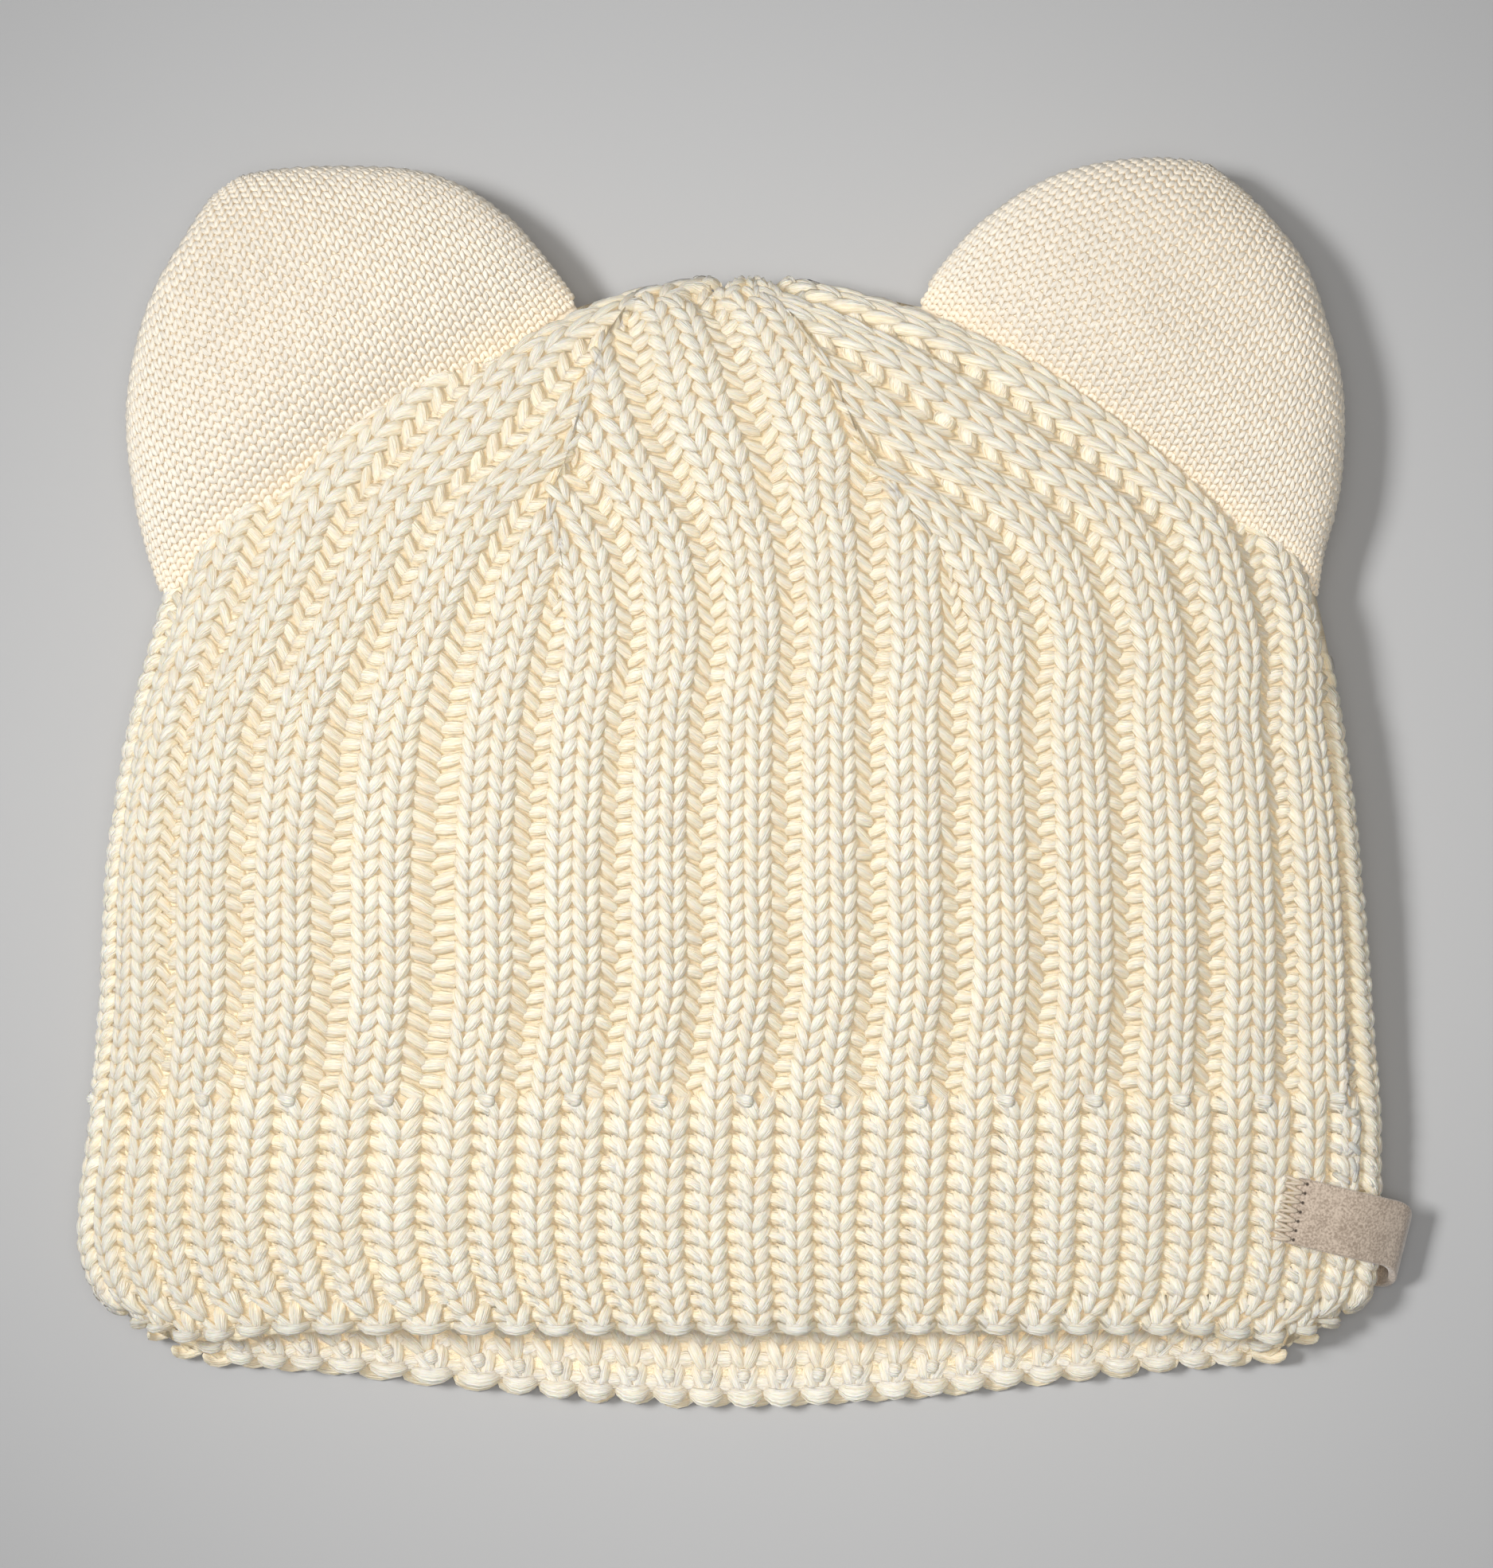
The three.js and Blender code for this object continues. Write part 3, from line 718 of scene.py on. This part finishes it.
# The cloth behind the stitches: a shell with its lining, joined at the rim. Between the stitches it shows as
# painted shade and painted glow
def gridMesh(name, loops, material, deepValue):
    count = loops[0].shape[0]
    points = np.concatenate(loops)
    faces = []
    for r in range(len(loops) - 1):
        for i in range(count):
            j = (i + 1) % count
            faces.append((r * count + i, r * count + j, (r + 1) * count + j, (r + 1) * count + i))
    mesh = bpy.data.meshes.new(name)
    mesh.from_pydata([tuple(p) for p in points], [], faces)
    built = bmesh.new()
    built.from_mesh(mesh)
    bmesh.ops.remove_doubles(built, verts=built.verts, dist=2e-6)
    bmesh.ops.dissolve_degenerate(built, dist=1e-7, edges=built.edges)
    bmesh.ops.recalc_face_normals(built, faces=built.faces)
    built.to_mesh(mesh)
    built.free()
    for polygon in mesh.polygons:
        polygon.use_smooth = True
    mesh.uv_layers.new(name="yarnUV")
    count = len(mesh.vertices)
    # Every spot of the sheet gets one depth, which its material paints as crease shade and glow
    return linkPiece(name, mesh, np.full(count, deepValue), np.full(count, 0.5), material)


backing = {"columns": 128, "fromRow": 0.15, "rowStep": 1.0, "under": -1.05, "liningRows": 16, "lining": 3.5}
backingColumns = (np.arange(backing["columns"]) + 0.5) * sideColumns / backing["columns"]


def backingLoop(row):
    rowAt = np.full_like(backingColumns, row)
    under = backing["under"] - ribInset(backingColumns, rowAt)
    halves = []
    for front in (True, False):
        centre, _, _, out, _, _ = stitchFrame(backingColumns, rowAt, front, 0.0)
        points = centre + out * (under * mm)[:, None]
        points[:, 2] = np.maximum(points[:, 2], floorGap * mm)
        halves.append(points if front else points[::-1])
    return np.concatenate(halves)


def liningLoop(row):
    share = backingColumns / sideColumns
    height = heightOfRow(np.full_like(share, row))
    inset = np.full_like(share, backing["lining"])
    front = hatPoint(share, True, height, inset)
    back = hatPoint(share[::-1], False, height, inset)
    return np.concatenate([front, back])


def makeBacking():
    outer = np.arange(backing["fromRow"], endRow + 0.01, backing["rowStep"])[::-1]
    inner = np.linspace(backing["fromRow"], endRow, backing["liningRows"])
    loops = [backingLoop(row) for row in outer] + [liningLoop(row) for row in inner]
    finish(gridMesh("backing_cloth", loops, yarnMaterial, 0.9), None)


makeBacking()
print("backing done")


# Ears: stuffed pads on the slope of the crown. Sections run along the seam's chord, by share of the rise.
ear = {
    "seamLow": 0.70, "seamHigh": 0.974, "thickness": 24.0, "baseArch": 3.0, "rounding": 2.3,
    "closeFrom": 0.62, "dimple": 2.0, "under": -0.62, "wales": 32, "padColumns": 33, "padRows": 28,
}
earRise = {"left": 41.8, "right": 39.6}
earLow = {
    "left": smoothCurve([0, 0.15, 0.4, 0.58, 0.734, 0.866, 0.94, 0.985, 1],
                        [0, 0.025, 0.089, 0.154, 0.24, 0.347, 0.446, 0.513, 0.54]),
    "right": smoothCurve([0, 0.147, 0.308, 0.5, 0.669, 0.81, 0.93, 0.986, 1],
                         [0, 0.045, 0.081, 0.145, 0.223, 0.323, 0.435, 0.555, 0.605]),
}
earHigh = {
    "left": smoothCurve([0, 0.16, 0.318, 0.48, 0.608, 0.708, 0.805, 0.895, 0.974, 1],
                        [1, 1, 0.992, 0.965, 0.925, 0.871, 0.797, 0.72, 0.636, 0.6]),
    "right": smoothCurve([0, 0.13, 0.278, 0.452, 0.65, 0.78, 0.889, 0.965, 1],
                         [1, 1.009, 1.005, 0.983, 0.933, 0.874, 0.805, 0.74, 0.7]),
}
earSwell = smoothCurve([-0.2, -0.1, 0, 0.08, 0.2, 0.35, 0.5, 1.1], [0.05, 0.1, 0.42, 0.66, 0.87, 0.98, 1, 1])
fineStitch = {
    "lobe": fineLobe, "columnMm": 1.5, "rowMm": 1.35, "top": 0.93, "foot": 0.06, "rise": 1.75, "plump": 0.86,
    "thick": 0.38, "lift": -0.30, "arch": 0.16, "tuck": 0.12, "uneven": 0.02,
}


def earFrame(side):
    ends = []
    for up in (ear["seamLow"], ear["seamHigh"]):
        edge = float(outline[side](up)) * halfWidth
        ends.append(np.array([edge, -hat["restUp"] + hat["crownHeight"] * up]))
    chord = ends[1] - ends[0]
    length = np.linalg.norm(chord)
    way = chord / length
    outward = np.array([-way[1], way[0]]) * (1 if side == "left" else -1)
    return ends[0], way, outward, length


def earBase(along):
    return ear["baseArch"] * np.sin(math.pi * np.clip(along, 0, 1))


# Half thickness of a pad at a spot of its outline, before it rounds off towards the sides
def earHalf(side, out, along):
    above = out - earBase(along) / earRise[side]
    closing = np.clip((out - ear["closeFrom"]) / (1 - ear["closeFrom"]), 0, 1)
    return ear["thickness"] / 2 * earSwell(above) * np.sqrt(1 - closing ** 2)


# One ear's sections, and the places on them that are a whole stitch apart
class EarTable:
    def __init__(self, side):
        self.side = side
        self.start, self.way, self.outward, self.length = earFrame(side)
        closing = 0.9 + 0.1 * np.sin(np.linspace(0, math.pi / 2, 40)[1:])
        self.outs = np.concatenate([np.linspace(-0.1, 0.9, 120), closing])
        turn = np.linspace(math.pi, 0, 301)
        self.across = np.sign(np.cos(turn)) * np.abs(np.cos(turn)) ** (2 / ear["rounding"])
        self.shares = np.linspace(0, 1, 241)
        spots = []
        lengths = []
        middles = []
        for out in self.outs:
            along, z = self.section(np.full_like(self.across, out), self.across)
            step = np.hypot(np.diff(along * self.length), np.diff(z))
            arc = np.concatenate([[0], np.cumsum(step)])
            spots.append(np.interp(self.shares * arc[-1], arc, self.across))
            lengths.append(arc[-1])
            middles.append(np.interp(0.5 + 0.08 * out, along, arc) if arc[-1] > 1e-6 else 0.0)
        self.spots = np.array(spots)
        self.lengths = np.array(lengths)
        self.middles = np.array(middles)
        middle = np.full_like(self.outs, 0.52)
        z = earHalf(side, self.outs, middle)
        step = np.hypot(np.diff(self.outs) * earRise[side], np.diff(z))
        climb = np.concatenate([[0], np.cumsum(step)])
        first = np.interp(earBase(0.5) / earRise[side] - 0.06, self.outs, climb)
        rows = (climb - first) / fineStitch["rowMm"]
        self.rowAt = rows * round(rows[-1]) / rows[-1]

    def section(self, out, across, lift=0.0):
        low = earLow[self.side](np.clip(out, 0, 1))
        high = earHigh[self.side](np.clip(out, 0, 1))
        along = (low + high) / 2 + across * ((high - low) / 2 + lift / self.length)
        half = earHalf(self.side, out, along) + lift
        z = half * np.maximum(0, 1 - np.abs(across) ** ear["rounding"]) ** (1 / ear["rounding"])
        return along, z

    def point(self, row, wale, lift, front):
        out = np.interp(row, self.rowAt, self.outs)
        i = np.clip(np.interp(out, self.outs, np.arange(len(self.outs))), 0, len(self.outs) - 1.001)
        i0 = i.astype(int)
        fi = i - i0
        length = np.interp(out, self.outs, self.lengths)
        middle = np.interp(out, self.outs, self.middles)
        share = (middle + wale * fineStitch["columnMm"]) / np.maximum(length, 1e-6)
        j = np.clip(share, 0, 1) * (len(self.shares) - 1.001)
        j0 = j.astype(int)
        fj = j - j0
        low = self.spots[i0, j0] * (1 - fj) + self.spots[i0, j0 + 1] * fj
        high = self.spots[i0 + 1, j0] * (1 - fj) + self.spots[i0 + 1, j0 + 1] * fj
        across = low * (1 - fi) + high * fi
        return self.place(out, across, lift, front), share

    def place(self, out, across, lift, front):
        along, z = self.section(out, across, lift)
        hollow = ear["dimple"] * np.exp(-((along - 0.5) / 0.22) ** 2 - ((out - 0.62) / 0.2) ** 2)
        z = z - np.minimum(hollow, 0.4 * np.abs(z))
        far = out * earRise[self.side] + lift * np.clip(out, 0, 1) ** 4
        x = self.start[0] + self.way[0] * along * self.length + self.outward[0] * far
        y = self.start[1] + self.way[1] * along * self.length + self.outward[1] * far
        z = ear["thickness"] / 2 + np.where(front, z, -z)
        return np.stack([x, y, np.maximum(z, floorGap)], axis=-1) * mm


def makeEar(side):
    table = EarTable(side)
    rowsHigh = round(table.rowAt[-1])
    spots = []
    for row in range(rowsHigh):
        for wale in range(-ear["wales"], ear["wales"] + 1):
            for front in (True, False):
                spots.append((row + 0.5, wale, front))
    spots = np.array(spots, float)
    at, share = table.point(spots[:, 0], spots[:, 1], 0.0, spots[:, 2].astype(bool))
    out = np.interp(spots[:, 0], table.rowAt, table.outs)
    along = ((at[:, :2] / mm - table.start) @ table.way) / table.length
    above = out - earBase(along) / earRise[side]
    spots = spots[(share > 0.008) & (share < 0.992) & (above > -0.07)]
    parts = []
    for lean in (-1.0, 1.0):
        halfMm = np.full(len(spots), fineStitch["columnMm"] / 2)
        x, y, lift = legShape(fineStitch, halfMm, np.full(len(spots), lean))
        row = spots[:, :1] + y / fineStitch["rowMm"]
        wale = spots[:, 1:2] + x / fineStitch["columnMm"]
        front = np.broadcast_to(spots[:, 2:3].astype(bool), row.shape)
        points, _ = table.point(row, wale, lift, front)
        # Painted shade: the low parts of each loop, and a band along the seam where the crown's edge shades
        # the ear, take more of the deep colour and its painted glow
        seamShade = 1 - smoothStep(0.05, 0.17, np.interp(row, table.rowAt, table.outs))
        deep = np.clip((0.22 - lift) / 0.6, 0, 1) * 0.75 + 0.3 * seamShade
        parts.append((points, np.clip(deep, 0, 1)))
    points, deep = joined(parts)
    name = side + "_ear_jersey"
    jersey = meshOfCopies(name, fineLobe, points, deep, rng.random(len(points)), jerseyMaterial)
    finish(jersey, None)
    loops = []
    across = np.sin(np.linspace(-1, 1, ear["padColumns"]) * math.pi / 2)
    closing = 0.88 + 0.12 * np.sin(np.linspace(0, math.pi / 2, 12)[1:])
    for out in np.concatenate([np.linspace(-0.08, 0.88, ear["padRows"]), closing]):
        front = table.place(np.full_like(across, out), across, ear["under"], True)
        back = table.place(np.full_like(across, out), across[::-1], ear["under"], False)
        loops.append(np.concatenate([front[:-1], back[:-1]]))
    middle = loops[0].mean(axis=0)
    loops.insert(0, np.repeat(middle[None, :], len(loops[0]), axis=0))
    # The pad shows between the ear's stitches as painted shade and painted glow
    pad = gridMesh(side + "_ear_pad", loops, jerseyMaterial, 0.7)
    finish(pad, side + "_ear")
    print(side, "ear stitches", len(spots), "in rows", rowsHigh)


makeEar("left")
makeEar("right")


# The suede label: a strap folded round the right-hand edge. Lengths in millimetres, past the edge and up.
label = {
    "width": 9.2, "thickness": 1.2, "front": 12.6, "back": 8.5, "slide": 3.4, "up": 20.6, "slant": 14.0,
    "lift": 0.9, "under": 0.6, "nose": 4.0,
}


# The strap's middle line, seen along the hat: over the knit, round its nose and back along the floor
def labelPath():
    up = label["up"] / hat["crownHeight"]
    edge = float(outline["right"](up)) * halfWidth
    fold = hat["foldShare"] * float(outline["thick"](up)) * hat["thickness"]
    samples = np.linspace(0.5, 1, 600)
    top = hatPoint(samples, True, np.full_like(samples, up), np.zeros_like(samples)) / mm

    def onTop(past):
        height = float(np.interp(edge + past, top[:, 0], top[:, 2]))
        return (past, height + label["lift"] * 1.25)

    nose = label["nose"]
    under = label["under"]
    along = -label["front"]
    ends = np.array([
        onTop(along), onTop(along * 0.75), onTop(along * 0.5), onTop(along * 0.28),
        (nose * 0.3, fold * 1.24), (nose * 0.88, fold * 0.92), (nose, fold * 0.6), (nose * 0.8, fold * 0.27),
        (nose * 0.2, under * 1.25), (-label["back"] * 0.35, under), (-label["back"], under),
    ])
    step = np.sqrt(np.linalg.norm(np.diff(ends, axis=0), axis=1))
    knots = np.concatenate([[0], np.cumsum(step)])
    fine = np.linspace(0, knots[-1], 400)
    path = np.stack([smoothCurve(knots, ends[:, i])(fine) for i in range(2)], axis=1)
    length = np.concatenate([[0], np.cumsum(np.linalg.norm(np.diff(path, axis=0), axis=1))])
    return path, length, edge


def labelPoint(path, length, edge, distance, across, lift):
    past = np.interp(distance, length, path[:, 0])
    up = np.interp(distance, length, path[:, 1])
    before = np.stack([np.interp(distance - 0.3, length, path[:, i]) for i in range(2)], axis=-1)
    after = np.stack([np.interp(distance + 0.3, length, path[:, i]) for i in range(2)], axis=-1)
    way = after - before
    way /= np.linalg.norm(way, axis=-1, keepdims=True)
    slant = math.radians(label["slant"])
    across = across - label["slide"] * smoothStep(0.42 * length[-1], 0.72 * length[-1], distance)
    run = past + label["front"] - way[..., 1] * lift
    x = edge - label["front"] + run * math.cos(slant) + across * math.sin(slant)
    y = -hat["restUp"] + label["up"] - run * math.sin(slant) + across * math.cos(slant)
    return np.stack([x, y, up + way[..., 0] * lift], axis=-1) * mm


# The zigzag of thread over the sewn end: its turns, from the needle holes in the strap to the knit
zigzag = {"turns": 7, "margin": 0.65, "hole": 0.95, "end": -1.9, "half": 0.55, "radius": 0.27, "thick": 0.2}
zigzagStep = (label["width"] - 2 * zigzag["margin"]) / (zigzag["turns"] - 1)


# A row of needle holes by the sewn end, placed by the strap's own UV map: the holes are only painted, as
# near-black spots of painted shade
def needleHoles(tree, labelLength):
    place = addNode(tree, "ShaderNodeUVMap", {}, uv_map="UVMap")
    parts = addNode(tree, "ShaderNodeSeparateXYZ", {"Vector": place.outputs["UV"]})

    def maths(operation, *values):
        return addNode(tree, "ShaderNodeMath", dict(enumerate(values)), operation=operation).outputs["Value"]

    x = maths("MULTIPLY_ADD", parts.outputs["X"], labelLength, -1.15)
    firstHole = 0.5 - zigzag["margin"] / zigzagStep
    y = maths("MULTIPLY_ADD", parts.outputs["Y"], label["width"] / zigzagStep, firstHole)
    y = maths("MULTIPLY", maths("SUBTRACT", maths("FRACT", y), 0.5), zigzagStep)
    both = addNode(tree, "ShaderNodeCombineXYZ", {"X": x, "Y": y})
    far = addNode(tree, "ShaderNodeVectorMath", {0: both.outputs["Vector"]}, operation="LENGTH")
    hole = addNode(tree, "ShaderNodeMapRange", {
        "Value": far.outputs["Value"], "From Min": 0.14, "From Max": 0.32, "To Min": 1.0, "To Max": 0.0,
    }, interpolation_type="SMOOTHSTEP")
    return hole.outputs["Result"]


def makeSuede(labelLength):
    material, tree, shader = newMaterial("suede")
    place = addNode(tree, "ShaderNodeTexCoord", {}).outputs["Object"]
    nap = addNode(tree, "ShaderNodeTexNoise", {"Vector": place, "Scale": 3000.0, "Detail": 4.0})
    nap = nap.outputs["Fac"]
    cloud = addNode(tree, "ShaderNodeTexNoise", {"Vector": place, "Scale": 420.0}).outputs["Fac"]
    cloud = addNode(tree, "ShaderNodeMath", {0: cloud, 1: 0.25}, operation="MULTIPLY").outputs["Value"]
    both = addNode(tree, "ShaderNodeMath", {0: nap, 1: 0.75, 2: cloud}, operation="MULTIPLY_ADD")
    browns = [(0.40, (0.37, 0.285, 0.215)), (0.60, (0.65, 0.53, 0.42))]
    leather = addRamp(tree, both.outputs["Value"], browns)
    hole = needleHoles(tree, labelLength)
    # Painted shade: the leather turns near-black inside each hole
    pierced = addNode(tree, "ShaderNodeMix", {}, data_type="RGBA")
    setInputs(tree, pierced, {"Factor": hole, "A": leather, "B": (0.07, 0.05, 0.035, 1)})
    bump = addNode(tree, "ShaderNodeBump", {"Strength": 0.6, "Distance": 0.00012, "Height": nap})
    setInputs(tree, shader, {
        "Base Color": pierced.outputs["Result"], "Normal": bump.outputs["Normal"], "Roughness": 0.9,
        "Sheen Weight": 0.5, "Sheen Roughness": 0.5,
    })
    return material


def labelStitches(path, length, edge):
    base = fineLobe["points"]
    along = (base[:, 2] + 1) / 2
    arch = 0.62 + 0.25 * np.sin(math.pi * along) - 0.75 * smoothStep(0.35, 1.0, along)
    high = arch + base[:, 1] * zigzag["thick"]
    before = labelPoint(path, length, edge, np.zeros(1), np.zeros(1), 0.0)
    after = labelPoint(path, length, edge, np.ones(1), np.zeros(1), 0.0)
    lobes = []
    for i in range(zigzag["turns"]):
        across = -label["width"] / 2 + zigzag["margin"] + i * zigzagStep
        for turn in (-1, 1):
            start = np.array([zigzag["hole"], across])
            end = np.array([zigzag["end"], across + turn * zigzag["half"]])
            end = end + [rng.normal(0, 0.12), rng.normal(0, 0.06)]
            way = end - start
            side = np.array([-way[1], way[0]]) / np.linalg.norm(way)
            spot = start + way * along[:, None] + side * (base[:, :1] * zigzag["radius"])
            point = labelPoint(path, length, edge, np.maximum(spot[:, 0], 0.0), spot[:, 1], high)
            lobes.append(point + (after - before) * np.minimum(spot[:, :1], 0.0))
    points = np.array(lobes)
    # The thread is mixed a quarter toward its deep colour everywhere, with a faint painted glow
    deep = np.full(points.shape[:2], 0.25)
    thread = makeYarnMaterial("sewing thread", {
        "light": (0.66, 0.57, 0.46), "deep": (0.5, 0.4, 0.3), "around": 6, "along": 8.0,
        "fibreDepth": 0.0001, "streak": 0.6, "soft": 0.0,
    })
    stitches = meshOfCopies("label_stitches", fineLobe, points, deep, rng.random(len(points)), thread)
    finish(stitches, None)


def makeLabel():
    path, length, edge = labelPath()
    labelStitches(path, length, edge)
    bpy.ops.object.select_all(action="DESELECT")
    bpy.ops.mesh.primitive_grid_add(x_subdivisions=90, y_subdivisions=16, size=1)
    strap = bpy.context.object
    strap.name = "label_strap"
    for vertex in strap.data.vertices:
        distance = (vertex.co.x + 0.5) * length[-1]
        across = vertex.co.y * label["width"]
        vertex.co = labelPoint(path, length, edge, np.array(distance), across, 0.0)
    solidify = strap.modifiers.new("thickness", "SOLIDIFY")
    solidify.thickness = label["thickness"] * mm
    solidify.offset = 0
    bevel = strap.modifiers.new("edges", "BEVEL")
    bevel.width = 0.28 * mm
    bevel.segments = 3
    for name in ("thickness", "edges"):
        bpy.ops.object.modifier_apply(modifier=name)
    bpy.ops.object.shade_smooth()
    strap.data.materials.append(makeSuede(length[-1]))
    finish(strap, "label_loop")


makeLabel()
print("label done")


# Plain pale floor. A key light from the left and a wide soft light from above, both aimed at the hat.
studio = {
    "floor": (0.455, 0.455, 0.456), "world": 0.22,
    "key": {"energy": 0.275, "size": 0.22, "spread": 26, "location": (-0.47, 0.12, 1.01)},
    "top": {"energy": 0.32, "size": 0.5, "spread": 32, "location": (0.0, 0.03, 1.4)},
}


def makeLight(name):
    values = studio[name]
    light = bpy.data.lights.new(name, "AREA")
    light.energy = values["energy"]
    light.size = values["size"]
    light.spread = math.radians(values["spread"])
    lamp = bpy.data.objects.new(name, light)
    lamp.location = values["location"]
    lamp.rotation_euler = (-Vector(values["location"])).to_track_quat("-Z", "Y").to_euler()
    bpy.context.scene.collection.objects.link(lamp)


def makeStudio():
    bpy.ops.object.select_all(action="DESELECT")
    bpy.ops.mesh.primitive_plane_add(size=6, location=(0, 0, -0.0002))
    floor = bpy.context.object
    floor.name = "floor"
    material, tree, shader = newMaterial("floor")
    setInputs(tree, shader, {"Base Color": (*studio["floor"], 1), "Roughness": 0.9})
    floor.data.materials.append(material)
    makeLight("key")
    makeLight("top")
    world = bpy.data.worlds.new("studio")
    bpy.context.scene.world = world
    world.use_nodes = True
    background = world.node_tree.nodes["Background"]
    setInputs(world.node_tree, background, {"Color": (1, 1, 1, 1), "Strength": studio["world"]})


makeStudio()
print("studio ready")
